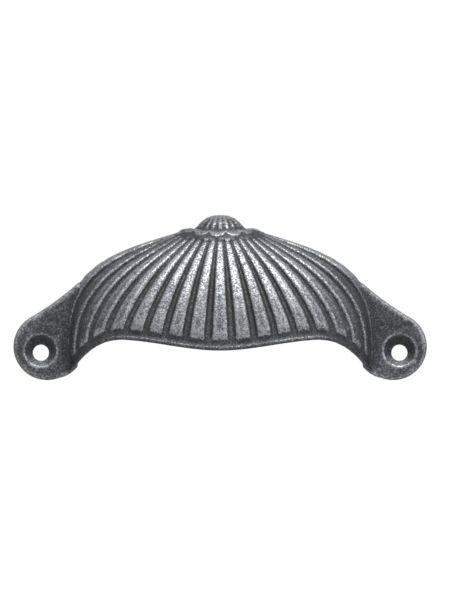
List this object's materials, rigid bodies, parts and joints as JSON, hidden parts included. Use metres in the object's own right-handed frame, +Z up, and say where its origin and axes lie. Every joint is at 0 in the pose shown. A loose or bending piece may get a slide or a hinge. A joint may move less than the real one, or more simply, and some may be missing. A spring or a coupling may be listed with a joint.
{
  "type": "cup pull",
  "caption": "Cast iron drawer cup pull shaped as half a ribbed parasol, with a fluted boss, two petal rows and two flat screw ears.",
  "frame": {"origin": "in the back plane, midway between the two screw holes", "axes": "+X to the right seen from the front, +Z up towards the boss, the front faces -Y and the back plane is y = 0"},
  "size_m": [0.1112, 0.0234, 0.0445],
  "materials": {
    "cast_iron": "worn satin over a dark, grainy skin"
  },
  "bodies": {
    "root": {"cup_pull": "cast_iron"}
  },
  "joints": []
}
